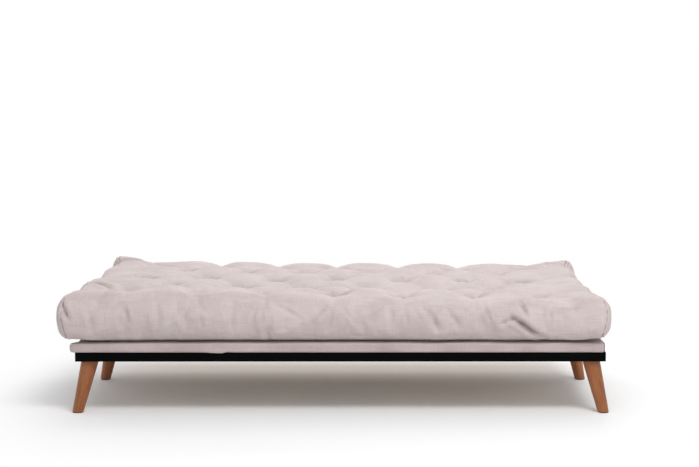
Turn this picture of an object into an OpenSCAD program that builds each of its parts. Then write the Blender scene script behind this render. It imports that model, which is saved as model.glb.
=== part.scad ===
// Click-clack futon sofa bed, lying flat as a bed.
// Millimetres. +X runs to the right along the bed, the front faces -Y and +Z is up.
// The origin is on the floor under the middle of the mattress.

/* [Base frame] */
// Length of the steel base frame
frame_length = 1900; // [1500:10:2300]
// Depth of the base frame, from the front face to the rear face
frame_depth = 680; // [560:5:820]
// Height of the underside of the frame above the floor
leg_height = 186; // [120:1:260]
// Height of the front and rear rails
rail_height = 33; // [27:1:45]
// Width of the front and rear rails, front to back
rail_width = 33; // [27:1:45]
// Wall of the rail tube
rail_wall = 2; // [1.2:0.1:3]
// Outside corner radius of the rail tube
rail_corner = 4; // [3:0.5:6]
// Height of the flat side rails
side_rail_height = 60; // [50:1:75]
// Thickness of the flat side rails
side_rail_thickness = 5; // [3:0.5:8]
// Width of each cross member tube
cross_width = 30; // [20:1:45]
// Wall of each cross member tube
cross_wall = 1.5; // [1:0.1:3]
// Outside corner radius of the cross member tube
cross_corner = 3; // [2:0.5:5]

/* [Legs] */
// Diameter of a leg at the frame
leg_top_d = 62; // [45:1:74]
// Diameter of a leg at the floor
leg_foot_d = 39; // [24:1:50]
// Distance from the leg's top centre to the frame's end and to its face
leg_inset = 47; // [40:1:70]
// Sideways splay of a foot
splay_side = 42; // [0:1:60]
// Forward or backward splay of a foot
splay_front = 35; // [0:1:60]
// Thickness of the glide under a foot
glide_thickness = 3; // [2:0.5:6]
// Side of the square leg plate
leg_plate_size = 100; // [80:1:130]
// Thickness of the leg plate
leg_plate_thickness = 4; // [3:0.5:5]

/* [Decks] */
// Height of a seat deck board
board_height = 25; // [18:1:35]
// Width of a deck board
board_width = 45; // [30:1:60]
// Radius of the eased edges along a deck board
board_edge = 3; // [1:0.5:6]
// Gap between the rail tops and the back deck boards
back_lift = 5; // [4:0.5:8]
// Depth of the back, from the fold line to the rear edge of the mattress
back_depth = 505; // [400:5:620]
// Thickness of the padding on a deck
pad_thickness = 12; // [8:1:20]
// Thickness of the padding on a deck's edges
pad_edge = 8; // [5:1:12]
// Half of the gap between the two padded decks at the fold
fold_gap = 16; // [15:0.5:24]
// Distance the padded back deck ends inside the mattress
back_inset = 5; // [0:1:30]
// Width of a slat
slat_width = 53; // [35:1:68]
// Thickness of a slat
slat_thickness = 8; // [6:0.5:10]
// Rise of a slat's middle above its ends
slat_crown = 4; // [2:0.5:6]
// Slats between two bearers
slats_per_bay = 4; // [2:1:4]

/* [Mattress] */
// Thickness of the mattress
mattress_thickness = 180; // [120:5:220]
// Distance the mattress stands out past the front rail
front_overhang = 45; // [10:1:80]
// Distance the mattress stands out past each end of the frame
end_overhang = 34; // [10:1:50]
// Corner radius of the mattress in plan
mattress_corner = 55; // [20:1:90]
// Edge radius of the mattress
mattress_edge = 50; // [20:1:58]

/* [Click-clack hinge] */
// Angle the back rises through, from bed to sofa
back_travel = 75; // [60:1:78]
// Depth of the hinge axis below the tops of the decks
pivot_drop = 16; // [14:0.5:17]
// Distance from the hinge axis to the rear rail
pivot_setback = 37; // [35:1:50]
// Diameter of the hinge pin
pin_d = 10; // [8:0.5:12]
// Radius of the rounded lug round the hinge pin
lug_r = 13; // [10:0.5:13.5]
// Thickness of the fixed hinge plate
plate_thickness = 4; // [3:0.5:6]
// Thickness of the hinge arm and its pawl
arm_thickness = 4; // [3:0.5:6]
// Thickness of the washer between plate and arm
washer_thickness = 1; // [0.5:0.1:2]
// Length of the hinge arm behind the pin
arm_length = 330; // [200:5:380]
// Height of the arm at the pin
arm_height = 24; // [18:1:26]
// Width of the arm's flange under the back deck
flange_width = 30; // [24:1:50]
// Outer radius of the toothed quadrant
ratchet_r = 30; // [27:0.5:31]
// Depth of a notch in the quadrant
notch_depth = 6; // [4:0.5:7]
// Angle taken by the sloped side of a notch
notch_slope = 14; // [8:1:18]
// Distance from the pawl's pin to the notch it locks
pawl_reach = 34; // [32:0.5:40]
// Angle the pawl swings through, from released to locked
pawl_swing = 13; // [12:1:16]
// Diameter of the pawl's pin
pawl_pin_d = 8; // [6:0.5:9]
// Running clearance of a pin in its hole, on the radius
pin_clearance = 0.1; // [0.05:0.01:0.3]

/* [Hidden] */

LEFT = -1;
RIGHT = 1;
FRONT = -1;
REAR = 1;
EPS = 0.01;
// How far a cut runs past the face it starts from
CUT = 1;
STEEL = "#1a1a1b";
HINGE_STEEL = "#3a3b3d";
ZINC = "#8f9194";
BRIGHT_ZINC = "#b0b2b4";
PINE = "#c9a878";
MATTRESS_FABRIC = "#cfc1bf";
PAD_FABRIC = "#b8aaa9";
// Gap that keeps soft pieces clear of what they lie on
soft_gap = 0.3;
$fn = 64;

// Depths, measured along Y
seat_depth = front_overhang + frame_depth - rail_width - pivot_setback;
bed_depth = seat_depth + back_depth;
mattress_front = -bed_depth / 2;
mattress_rear = bed_depth / 2;
frame_front = mattress_front + front_overhang;
frame_rear = frame_front + frame_depth;
rail_back_face = frame_front + rail_width;
rear_rail_front = frame_rear - rail_width;
pivot_y = mattress_front + seat_depth;

// Heights
rail_top = leg_height + rail_height;
deck_top = rail_top + board_height;
pad_top = deck_top + pad_thickness;
pivot_z = pad_top - pivot_drop;
back_board_bottom = rail_top + back_lift;
mattress_bottom = pad_top + soft_gap;
mattress_top = mattress_bottom + mattress_thickness;

// Distances from the middle to the planes of the hinge, out to in
frame_half = frame_length / 2;
side_inner = frame_half - side_rail_thickness;
plate_inner = side_inner - plate_thickness;
arm_outer = plate_inner - washer_thickness;
arm_inner = arm_outer - arm_thickness;
// Room kept inside the arm for the pin's nut
hinge_room = 11;
deck_half = arm_inner - hinge_room;
// Gaps between a pad and the flat steel beside it, and between the seat pad and the moving arm
pad_side_gap = 2;
pad_arm_gap = 6;
seat_pad_half = side_inner - pad_side_gap;
seat_pad_at_hinge = arm_inner - pad_arm_gap;
back_pad_half = arm_inner - pad_side_gap;
mattress_half = frame_half + end_overhang;

// Deck boards
pad_overhang = 5;
seat_pad_front = frame_front - pad_overhang;
seat_board_front = seat_pad_front + pad_edge + soft_gap;
seat_pad_rear = pivot_y - fold_gap;
seat_board_rear = seat_pad_rear - pad_edge - soft_gap;
back_pad_front = pivot_y + fold_gap;
back_board_front = back_pad_front + pad_edge + soft_gap;
back_pad_rear = mattress_rear - back_inset;
back_board_rear = back_pad_rear - pad_edge - soft_gap;
bearers = 3;
bay_width = (2 * (deck_half - board_width) - bearers * board_width) / (bearers + 1);
bearer_pitch = bay_width + board_width;
holder_depth = 14;
holder_wall = 2.5;
holder_back = 1.5;
slat_tuck = 12;
slat_slack = 0.5;

// Hinge plane: points are [Y, Z] from the hinge pin
pawl_pin = [-pawl_reach, -ratchet_r];
pawl_boss_r = 7;
tail_length = 14;
tail_r = 3.2;
spring_length = 16;
spring_post = pawl_pin - [tail_length + spring_length, 0];
notch_floor = ratchet_r - notch_depth;
notch_land = 6;
// The pawl locks the quadrant where it points straight down
lock_angle = 270;
notches = [0, back_travel / 2, back_travel];
plate_bolts = [
    [spring_post[0] + 5, -6],
    [spring_post[0] - 10, spring_post[1] - 6],
    [26, pawl_pin[1] - 8]
];
bolt_pad_r = 8.5;
post_r = 2;
spring_wire_r = 0.5;
spring_coil_r = 2;
spring_turns = 5;

// Pins, bolts and screws, with the slack of a snug hole and of a bolt's hole, on the radius
snug_slack = 0.05;
bolt_slack = 0.3;
m8_r = 4;
m8_head_r = 7.5;
m8_head_h = 5;
m6_r = 3;
m6_head_r = 5.8;
m6_head_h = 4;
wood_screw_r = 2.4;
pilot_r = 2.6;

// ---- helpers ----

// A box between two corners
module box(low, high) {
    translate(low) cube(high - low);
}

// Mirrors its children to the left or right end
module at_side(side) {
    flip = side == LEFT ? 1 : 0;
    mirror([flip, 0, 0]) children();
}

// Outline of a rectangle with rounded corners
module rounded_outline(low, high, r) {
    size = high - low;
    translate(low + [r, 0]) square(size - [2 * r, 0]);
    translate(low + [0, r]) square(size - [0, 2 * r]);
    for (x = [low[0] + r, high[0] - r], y = [low[1] + r, high[1] - r])
        translate([x, y]) circle(r);
}

// Extrudes a [Y, Z] outline along X, starting at x
module plate_yz(x, thickness) {
    translate([x, 0, 0]) rotate([90, 0, 90]) linear_extrude(thickness) children();
}

// Extrudes an [X, Z] outline along Y, from y0 to y1
module plate_xz(y0, y1) {
    translate([0, y1, 0]) rotate([90, 0, 0]) linear_extrude(y1 - y0) children();
}

// Extrudes a [Y, Z] outline along X, with the outline measured from the hinge pin
module hinge_yz(x, thickness) {
    translate([0, pivot_y, pivot_z]) plate_yz(x, thickness) children();
}

// A cylinder along X at a point of the hinge plane
module pin_x(point, r, x0, x1, sides = 48) {
    translate([x0, pivot_y + point[0], pivot_z + point[1]])
        rotate([0, 90, 0]) cylinder(h = x1 - x0, r = r, $fn = sides);
}

function polar(r, angle) = [r * cos(angle), r * sin(angle)];

function bearer_x(index) = (index - (bearers - 1) / 2) * bearer_pitch;

function slat_x(bay, index) =
    let (bay_start = -(deck_half - board_width) + bay * bearer_pitch)
    let (gap = (bay_width - slats_per_bay * slat_width) / (slats_per_bay + 1))
    bay_start + gap + index * (slat_width + gap);

// ---- steel base frame ----

cap_flange = 2;

// Outline of a rail, drawn in by inset
module rail_outline(y0, inset) {
    rounded_outline([y0 + inset, leg_height + inset], [y0 + rail_width - inset, rail_top - inset],
                    max(rail_corner - inset, 0.5));
}

// Steel tube between two end caps
module rail(y0) {
    half = frame_half - cap_flange;
    color(STEEL) difference() {
        plate_yz(-half, 2 * half) rail_outline(y0, 0);
        plate_yz(-half - CUT, 2 * (half + CUT)) rail_outline(y0, rail_wall);
    }
}

module front_rail() {
    rail(frame_front);
}

module rear_rail() {
    rail(rear_rail_front);
}

// Plastic plugs in the open ends of both rails
module rail_end_caps() {
    plug = 14;
    slack = 0.2;
    color("#111111")
        for (side = [LEFT, RIGHT], y0 = [frame_front, rear_rail_front])
            at_side(side) {
                plate_yz(frame_half - cap_flange, cap_flange) rail_outline(y0, 0);
                plate_yz(frame_half - cap_flange - plug, plug + EPS) rail_outline(y0, rail_wall + slack);
            }
}

// Flat bar between the rails, with a lug round the hinge pin
module side_rail(side) {
    corner = 10;
    top = leg_height + side_rail_height;
    color(STEEL) at_side(side) difference() {
        union() {
            plate_yz(side_inner, side_rail_thickness) {
                translate([rail_back_face + corner, top - corner]) circle(corner);
                translate([rear_rail_front - corner, top - corner]) circle(corner);
                translate([rail_back_face + corner, leg_height])
                    square([rear_rail_front - rail_back_face - 2 * corner, side_rail_height]);
                translate([rail_back_face, leg_height])
                    square([rear_rail_front - rail_back_face, side_rail_height - corner]);
            }
            pin_x([0, 0], lug_r, side_inner, frame_half);
        }
        pin_x([0, 0], pin_d / 2, side_inner - CUT, frame_half + CUT);
        for (point = plate_bolts)
            pin_x(point, m6_r + bolt_slack, side_inner - CUT, frame_half + CUT);
    }
}

// Outline of a cross member, drawn in by inset
module cross_outline(x, inset) {
    half = cross_width / 2 - inset;
    rounded_outline([x - half, leg_height + inset], [x + half, rail_top - inset],
                    max(cross_corner - inset, 0.5));
}

// Tube between the rails, drilled for the bolts of the seat deck
module cross_member(index) {
    x = bearer_x(index);
    color(STEEL) difference() {
        plate_xz(rail_back_face, rear_rail_front) cross_outline(x, 0);
        plate_xz(rail_back_face - CUT, rear_rail_front + CUT) cross_outline(x, cross_wall);
        for (y = deck_bolt_rows())
            translate([x, y, leg_height - CUT])
                cylinder(h = rail_height + 2 * CUT, r = m6_r + bolt_slack, $fn = 32);
    }
}

// Welded plates that carry the legs, one inside each corner, the rear ones clear of the hinge plates
module leg_plates() {
    hinge_gap = 1;
    color(STEEL)
        for (side = [LEFT, RIGHT], end = [FRONT, REAR])
            at_side(side) difference() {
                x1 = end == FRONT ? side_inner : plate_inner - hinge_gap;
                y0 = end == FRONT ? rail_back_face : rear_rail_front - leg_plate_size;
                box([x1 - leg_plate_size, y0, leg_height],
                    [x1, y0 + leg_plate_size, leg_height + leg_plate_thickness]);
                translate([leg_x(), leg_y(end), leg_height - CUT])
                    cylinder(h = leg_plate_thickness + 2 * CUT, r = m8_r + bolt_slack, $fn = 32);
            }
}

function leg_x() = frame_half - leg_inset;
function leg_y(end) = end == FRONT ? frame_front + leg_inset : frame_rear - leg_inset;

// ---- legs ----

// Turned tapered leg, sawn level at both ends
module leg(side, end) {
    run = norm([splay_side, splay_front]);
    length = norm([run, leg_height]);
    tilt = atan2(run, leg_height);
    heading = atan2(end * splay_front, splay_side);
    spare = 30;
    taper = (leg_top_d - leg_foot_d) / 2 / length;
    bolt_hole = 42;
    color("#8a5f48") at_side(side) difference() {
        intersection() {
            translate([leg_x(), leg_y(end), leg_height])
                rotate([0, 180 - tilt, heading])
                    translate([0, 0, -spare]) rotate(90)
                        cylinder(h = length + 2 * spare,
                                 r1 = leg_top_d / 2 + taper * spare,
                                 r2 = leg_foot_d / 2 - taper * spare, $fn = 72);
            box([0, -bed_depth, glide_thickness], [frame_length, bed_depth, leg_height]);
        }
        translate([leg_x(), leg_y(end), leg_height - bolt_hole])
            cylinder(h = bolt_hole + CUT, r = m8_r + bolt_slack, $fn = 32);
    }
}

// Hexagon bolts that pull the legs up against their plates
module leg_bolts() {
    shank = 36;
    washer_r = 9;
    washer_h = 1.6;
    z = leg_height + leg_plate_thickness;
    color(ZINC)
        for (side = [LEFT, RIGHT], end = [FRONT, REAR])
            at_side(side) translate([leg_x(), leg_y(end), z]) {
                translate([0, 0, -leg_plate_thickness - shank])
                    cylinder(h = leg_plate_thickness + shank + EPS, r = m8_r, $fn = 32);
                cylinder(h = washer_h, r = washer_r, $fn = 48);
                translate([0, 0, washer_h - EPS]) cylinder(h = m8_head_h, r = m8_head_r, $fn = 6);
            }
}

// Felt glides under the feet
module foot_glides() {
    margin = 2.5;
    reach = 1 - glide_thickness / 2 / leg_height;
    color("#4b4743")
        for (side = [LEFT, RIGHT], end = [FRONT, REAR])
            at_side(side)
                translate([leg_x() + splay_side * reach, leg_y(end) + end * splay_front * reach, 0])
                    cylinder(h = glide_thickness, r = leg_foot_d / 2 - margin, $fn = 64);
}

// Rubber buffers on the rear rail that the back deck comes down on
module rest_buffers() {
    buffer_r = 12;
    color("#202020")
        for (bay = [0 : bearers])
            translate([bearer_x(bay) - bearer_pitch / 2, rear_rail_front + rail_width / 2, rail_top])
                cylinder(h = back_lift - soft_gap, r = buffer_r, $fn = 48);
}

// ---- slatted decks ----

// A board across the full length of a deck
module long_board(y0, z0) {
    color(PINE) plate_yz(-deck_half, 2 * deck_half)
        rounded_outline([y0, z0], [y0 + board_width, deck_top], board_edge);
}

// A board at the end of a deck, between its two long boards
module end_board(side, y0, y1, z0) {
    color(PINE) at_side(side) plate_xz(y0, y1)
        rounded_outline([deck_half - board_width, z0], [deck_half, deck_top], board_edge);
}

// Boards that run front to back in the middle of a deck
module bearer_boards(y0, y1, z0) {
    color(PINE)
        for (index = [0 : bearers - 1])
            plate_xz(y0, y1)
                rounded_outline([bearer_x(index) - board_width / 2, z0],
                                [bearer_x(index) + board_width / 2, deck_top], board_edge);
}

// Points along a slat's bow, from y0 to y1, with the middle at height top
function bow_points(y0, y1, top, steps = 12) = [
    for (i = [0 : steps])
        let (across = 2 * i / steps - 1)
        [y0 + (y1 - y0) * i / steps, top - slat_crown * across * across]
];

// Bowed slats, each tucked into a holder at both ends
module slats(y0, y1) {
    slat_y0 = y0 + holder_depth - slat_tuck;
    slat_y1 = y1 - holder_depth + slat_tuck;
    upper = bow_points(slat_y0, slat_y1, deck_top);
    lower = bow_points(slat_y1, slat_y0, deck_top - slat_thickness);
    color("#d8c094")
        for (bay = [0 : bearers], index = [0 : slats_per_bay - 1])
            plate_yz(slat_x(bay, index), slat_width) polygon(concat(upper, lower));
}

// Plastic cups, open towards the slats, that hold them against the boards
module slat_holders(y0, y1) {
    slot_top = deck_top - slat_crown + 2 * slat_slack;
    slot_bottom = deck_top - slat_crown - slat_thickness - slat_slack;
    top = min(slot_top + holder_wall, deck_top - soft_gap);
    color("#2b2b2d")
        for (bay = [0 : bearers], index = [0 : slats_per_bay - 1], y = [y0, y1 - holder_depth])
            difference() {
                x = slat_x(bay, index) - slat_slack;
                width = slat_width + 2 * slat_slack;
                slot_y = y == y0 ? y + holder_back : y - holder_back;
                box([x - holder_wall, y, slot_bottom - holder_wall],
                    [x + width + holder_wall, y + holder_depth, top]);
                box([x, slot_y, slot_bottom], [x + width, slot_y + holder_depth, slot_top]);
            }
}

// Padded cover over a deck, open underneath
module deck_pad(half, y0, y1, z0) {
    corner = 14;
    difference() {
        translate([0, 0, z0]) linear_extrude(pad_top - z0)
            rounded_outline([-half, y0], [half, y1], corner);
        box([-deck_half - soft_gap, y0 + pad_edge, z0 - CUT],
            [deck_half + soft_gap, y1 - pad_edge, deck_top + soft_gap]);
    }
}

module seat_front_board() {
    long_board(seat_board_front, rail_top);
}

module seat_rear_board() {
    long_board(seat_board_rear - board_width, rail_top);
}

module seat_end_board(side) {
    end_board(side, seat_inner_front(), seat_inner_rear(), rail_top);
}

function seat_inner_front() = seat_board_front + board_width;
function seat_inner_rear() = seat_board_rear - board_width;
function deck_bolt_rows() = [seat_inner_front() + board_width, seat_inner_rear() - board_width];

module seat_bearers() {
    depth = board_height - 4;
    difference() {
        bearer_boards(seat_inner_front(), seat_inner_rear(), rail_top);
        for (index = [0 : bearers - 1], y = deck_bolt_rows())
            translate([bearer_x(index), y, rail_top - CUT])
                cylinder(h = depth + CUT, r = m6_r + bolt_slack, $fn = 32);
    }
}

module seat_slats() {
    slats(seat_inner_front(), seat_inner_rear());
}

module seat_slat_holders() {
    slat_holders(seat_inner_front(), seat_inner_rear());
}

// Bolts from under the cross members up into the seat deck's bearers
module deck_bolts() {
    grip = board_height - 6;
    color(ZINC)
        for (index = [0 : bearers - 1], y = deck_bolt_rows())
            translate([bearer_x(index), y, leg_height - m6_head_h]) {
                cylinder(h = m6_head_h, r = m6_head_r, $fn = 6);
                cylinder(h = m6_head_h + rail_height + grip, r = m6_r, $fn = 32);
            }
}

// Pad of the seat, narrower beside the hinge plates
module seat_pad() {
    notch_y = pivot_y + plate_bolts[1][0] - bolt_pad_r;
    color(PAD_FABRIC) difference() {
        deck_pad(seat_pad_half, seat_pad_front, seat_pad_rear, rail_top + soft_gap);
        for (side = [LEFT, RIGHT])
            at_side(side)
                box([seat_pad_at_hinge, notch_y, rail_top - CUT],
                    [seat_pad_half + CUT, seat_pad_rear + CUT, pad_top + CUT]);
    }
}

function back_inner_front() = back_board_front + board_width;
function back_inner_rear() = back_board_rear - board_width;

module back_front_board() {
    long_board(back_board_front, back_board_bottom);
}

module back_top_board() {
    long_board(back_board_rear - board_width, back_board_bottom);
}

module back_end_board(side) {
    screw_hole = 14;
    difference() {
        end_board(side, back_inner_front(), back_inner_rear(), back_board_bottom);
        at_side(side)
            for (y = arm_screw_rows())
                translate([arm_screw_x(), y, back_board_bottom - CUT])
                    cylinder(h = screw_hole + CUT, r = pilot_r, $fn = 24);
    }
}

module back_bearers() {
    bearer_boards(back_inner_front(), back_inner_rear(), back_board_bottom);
}

module back_slats() {
    slats(back_inner_front(), back_inner_rear());
}

module back_slat_holders() {
    slat_holders(back_inner_front(), back_inner_rear());
}

module back_pad() {
    color(PAD_FABRIC) deck_pad(back_pad_half, back_pad_front, back_pad_rear, back_board_bottom + soft_gap);
}

// ---- click-clack hinge ----

// Fixed plate bolted to the inside of the side rail
module hinge_plate(side) {
    color(HINGE_STEEL) at_side(side) difference() {
        hinge_yz(plate_inner, plate_thickness) {
            hull() {
                circle(lug_r);
                translate(plate_bolts[0]) circle(bolt_pad_r);
                translate(plate_bolts[1]) circle(bolt_pad_r);
            }
            hull() {
                circle(lug_r);
                translate(plate_bolts[1]) circle(bolt_pad_r);
                translate(plate_bolts[2]) circle(bolt_pad_r);
            }
        }
        pin_x([0, 0], pin_d / 2, plate_inner - CUT, side_inner + CUT);
        pin_x(pawl_pin, pawl_pin_d / 2, plate_inner - CUT, side_inner + CUT);
        pin_x(spring_post, post_r, plate_inner - CUT, side_inner + CUT);
        for (point = plate_bolts)
            pin_x(point, m6_r + bolt_slack, plate_inner - CUT, side_inner + CUT);
    }
}

// One notch: a face the pawl pushes on, a short floor and a slope
module notch(angle) {
    rim = ratchet_r + 2;
    polygon([
        polar(notch_floor, angle),
        polar(rim, angle),
        polar(rim, angle - notch_land - notch_slope),
        polar(notch_floor, angle - notch_land)
    ]);
}

// Outline of the toothed quadrant with the hub, for the back lying flat
module quadrant() {
    first_tooth = 6;
    last_tooth = 14;
    first = lock_angle - back_travel - notch_land - notch_slope - first_tooth;
    last = lock_angle + last_tooth;
    reach = 2 * ratchet_r;
    difference() {
        union() {
            circle(lug_r);
            intersection() {
                circle(ratchet_r, $fn = 96);
                polygon([[0, 0], polar(reach, first), polar(reach, (first + last) / 2),
                         polar(reach, last)]);
            }
        }
        for (raise = notches)
            notch(lock_angle - raise);
    }
}

// Arm that carries the back deck, an angle with the quadrant at its front end
module hinge_arm(side) {
    web_bottom = rail_top + back_lift - flange_thickness() - pivot_z;
    tip_r = 8;
    flange_start = 32;
    color(HINGE_STEEL) at_side(side) difference() {
        union() {
            hinge_yz(arm_inner, arm_thickness) {
                quadrant();
                polygon([
                    [0, web_bottom],
                    [arm_length - tip_r, web_bottom],
                    [arm_length, web_bottom + tip_r],
                    [arm_length, web_bottom + 2 * tip_r],
                    [arm_length / 2, web_bottom + arm_height],
                    [0, web_bottom + arm_height]
                ]);
            }
            box([arm_inner - flange_width, pivot_y + flange_start, pivot_z + web_bottom],
                [arm_inner + EPS, pivot_y + arm_length - tip_r, back_board_bottom]);
        }
        pin_x([0, 0], pin_d / 2 + pin_clearance, arm_inner - CUT, arm_outer + CUT);
        for (y = arm_screw_rows())
            translate([arm_screw_x(), y, back_board_bottom - flange_thickness() - CUT])
                cylinder(h = flange_thickness() + 2 * CUT, r = pilot_r, $fn = 24);
    }
}

function flange_thickness() = 3;
function arm_screw_x() = deck_half - 8;

// Four screws to an arm, from the first behind the pin to the last in front of its tip
function arm_screw_rows() =
    let (first = 90)
    let (last = arm_length - 30)
    [for (step = [0 : 3]) pivot_y + first + step * (last - first) / 3];

// Wood screws through the flange into the deck's end board
module arm_screws() {
    length = 12;
    head_h = 1.5;
    z = back_board_bottom - flange_thickness();
    color("#a9abad")
        for (side = [LEFT, RIGHT], y = arm_screw_rows())
            at_side(side) translate([arm_screw_x(), y, z]) {
                translate([0, 0, -head_h])
                    cylinder(h = head_h + flange_thickness() + length, r = wood_screw_r, $fn = 24);
                translate([0, 0, -head_h]) cylinder(h = head_h, r = 4.6, $fn = 32);
            }
}

// Shouldered hinge pin, riveted over a cap outside and a nut inside
module hinge_pin(side) {
    cap_h = 3;
    nut_h = 5;
    head_r = pin_d / 2 + 4;
    color(BRIGHT_ZINC) at_side(side) {
        pin_x([0, 0], pin_d / 2 - snug_slack, arm_inner - nut_h, frame_half + cap_h);
        pin_x([0, 0], head_r, frame_half, frame_half + cap_h);
        pin_x([0, 0], head_r, arm_inner - nut_h, arm_inner, 6);
    }
}

// Nylon washers between the fixed plates and the arms
module hinge_washers() {
    color("#d9d7cf")
        for (side = [LEFT, RIGHT])
            at_side(side) difference() {
                pin_x([0, 0], lug_r - 1, arm_outer, plate_inner);
                pin_x([0, 0], pin_d / 2 + pin_clearance, arm_outer - CUT, plate_inner + CUT);
            }
}

// Button-head bolts and nuts that hold the hinge plates
module hinge_bolts() {
    button_h = 3;
    spare_thread = 1;
    color(ZINC)
        for (side = [LEFT, RIGHT], point = plate_bolts)
            at_side(side) {
                pin_x(point, m6_r, plate_inner - m6_head_h - spare_thread, frame_half + button_h, 32);
                pin_x(point, m6_head_r, frame_half, frame_half + button_h);
                pin_x(point, m6_head_r, plate_inner - m6_head_h, plate_inner, 6);
            }
}

// Side of the pawl from its boss to its tip, where it locks a notch, measured from its pin
function locked_blade() =
    let (slack = 0.4)
    let (floor_end = polar(notch_floor, lock_angle - notch_land))
    let (slope_end = polar(ratchet_r + 2, lock_angle - notch_land - notch_slope))
    [
        [0, pawl_boss_r - slack],
        slope_end - pawl_pin - [0, 3 * slack],
        floor_end - pawl_pin + [slack, -slack],
        [-2 * slack, -notch_floor - slack] - pawl_pin,
        [-slack, -ratchet_r - 4] - pawl_pin,
        [-5, -ratchet_r - 6] - pawl_pin,
        [0, slack - pawl_boss_r]
    ];

// Pawl, swung clear of the quadrant
module pawl(side) {
    tail = polar(tail_length, 180 + pawl_swing / 2);
    hook_hole_r = 1.1;
    root = pawl_boss_r - 1;
    tip = tail_r - 0.2;
    neck = [[-1, root], [-1, -root], tail - [0, tip], tail + [0, tip]];
    color("#55575a") at_side(side)
        translate([arm_inner, pivot_y + pawl_pin[0], pivot_z + pawl_pin[1]])
            rotate([-pawl_swing, 0, 0]) difference() {
                union() {
                    plate_yz(0, arm_thickness) polygon(locked_blade());
                    plate_yz(0, arm_thickness) polygon(neck);
                    plate_yz(0, arm_thickness) circle(pawl_boss_r);
                    plate_yz(0, arm_thickness) translate(tail) circle(tail_r);
                }
                plate_yz(-CUT, arm_thickness + 2 * CUT) circle(pawl_pin_d / 2 + pin_clearance);
                plate_yz(-CUT, arm_thickness + 2 * CUT) translate(tail) circle(hook_hole_r, $fn = 24);
            }
}

// Rivet the pawl swings on, and the post that anchors its spring
module pawl_pin_and_post(side) {
    head_h = 3;
    shoulder_r = 6;
    color(BRIGHT_ZINC) at_side(side) {
        pin_x(pawl_pin, pawl_pin_d / 2 - snug_slack, arm_inner - head_h, side_inner);
        pin_x(pawl_pin, shoulder_r, arm_inner - head_h, arm_inner - pin_clearance);
        pin_x(spring_post, post_r - snug_slack, arm_inner, side_inner, 24);
    }
}

// Directions square to a wire's path, carried along it without twist
function carried(tangents, i, up, out) =
    i == len(tangents) ? out :
    let (flat = up - tangents[i] * (up * tangents[i]))
    let (square = flat / norm(flat))
    carried(tangents, i + 1, square, concat(out, [square]));

// A round wire swept along a path of points
module wire(path, wire_r, sides = 6) {
    last = len(path) - 1;
    tangents = [for (i = [0 : last])
        let (step = path[min(i + 1, last)] - path[max(i - 1, 0)])
        step / norm(step)];
    ups = carried(tangents, 0, [0.6, 0.1, 0.8], []);
    points = [for (i = [0 : last], k = [0 : sides - 1])
        let (a = 360 * k / sides)
        path[i] + wire_r * (cos(a) * ups[i] + sin(a) * cross(tangents[i], ups[i]))];
    walls = [for (i = [0 : last - 1], k = [0 : sides - 1])
        let (next = (k + 1) % sides)
        [i * sides + k, (i + 1) * sides + k, (i + 1) * sides + next, i * sides + next]];
    start_cap = [for (k = [0 : sides - 1]) k];
    end_cap = [for (k = [0 : sides - 1]) last * sides + sides - 1 - k];
    polyhedron(points, concat([start_cap], walls, [end_cap]), convexity = 10);
}

// Over-centre spring, one wire from its hook on the post to its hook in the pawl's tail
module pawl_spring(side) {
    clear = 0.4;
    coil_gap = 1.6;
    post_loop_r = post_r + spring_wire_r + clear / 2;
    tail = pawl_pin + polar(tail_length, 180 - pawl_swing / 2);
    tail_edge = tail[0] - tail_r;
    // The wire passes the pawl's inner face here, on its way to the hole in the tail
    face_x = -arm_thickness / 2 - spring_wire_r - clear;
    start = [0, spring_post[0] + post_loop_r, spring_post[1]];
    end = [0, tail_edge - coil_gap, tail[1]];
    steps = 12;
    turn_count = spring_turns * steps;
    post_hook = [for (a = [60 : 30 : 330])
        [0, spring_post[0] + post_loop_r * cos(a), spring_post[1] + post_loop_r * sin(a)]];
    coils = [for (i = [0 : turn_count])
        let (grown = min(1, 2 * i / steps, 2 * (turn_count - i) / steps))
        let (a = 360 * i / steps)
        start + (end - start) * i / turn_count + spring_coil_r * grown * [sin(a), 0, cos(a)]];
    tail_hook = [
        [face_x / 2, tail_edge - coil_gap + clear, tail[1]],
        [face_x, tail_edge - clear, tail[1]],
        [face_x, tail[0] - 1.2, tail[1]],
        [face_x + clear, tail[0] - clear, tail[1]],
        [face_x + 3 * clear, tail[0], tail[1]],
        [arm_thickness / 2 - clear, tail[0], tail[1]]
    ];
    color("#c4c6c8") at_side(side)
        translate([arm_inner + arm_thickness / 2, pivot_y, pivot_z])
            wire(concat(post_hook, coils, tail_hook), spring_wire_r);
}

// ---- mattress ----

// The whole mattress block, with rounded plan corners and edges
module mattress_block() {
    intersection() {
        translate([0, 0, mattress_bottom - CUT]) linear_extrude(mattress_thickness + 2 * CUT)
            rounded_outline([-mattress_half, mattress_front],
                            [mattress_half, mattress_rear], mattress_corner);
        plate_yz(-mattress_half - CUT, 2 * (mattress_half + CUT))
            rounded_outline([mattress_front, mattress_bottom],
                            [mattress_rear, mattress_top], mattress_edge);
    }
}

// Wedge over the fold, from the hinge axis up, that squeezes as the back rises
module fold_wedge(slack) {
    reach = 2 * mattress_thickness;
    spread = back_travel / 2 + 1;
    plate_yz(-mattress_half - CUT, 2 * (mattress_half + CUT))
        translate([pivot_y, pivot_z])
            polygon([
                [-slack, -CUT],
                [slack, -CUT],
                [slack, 0],
                [slack + reach * tan(spread), reach],
                [-slack - reach * tan(spread), reach],
                [-slack, 0]
            ]);
}

module mattress_half_block(end) {
    span = 2 * bed_depth;
    y0 = end == FRONT ? pivot_y - span : pivot_y;
    color(MATTRESS_FABRIC) difference() {
        intersection() {
            mattress_block();
            box([-2 * frame_length, y0, 0], [2 * frame_length, y0 + span, 2 * mattress_top]);
        }
        fold_wedge(1);
    }
}

module mattress_seat() {
    mattress_half_block(FRONT);
}

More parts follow.
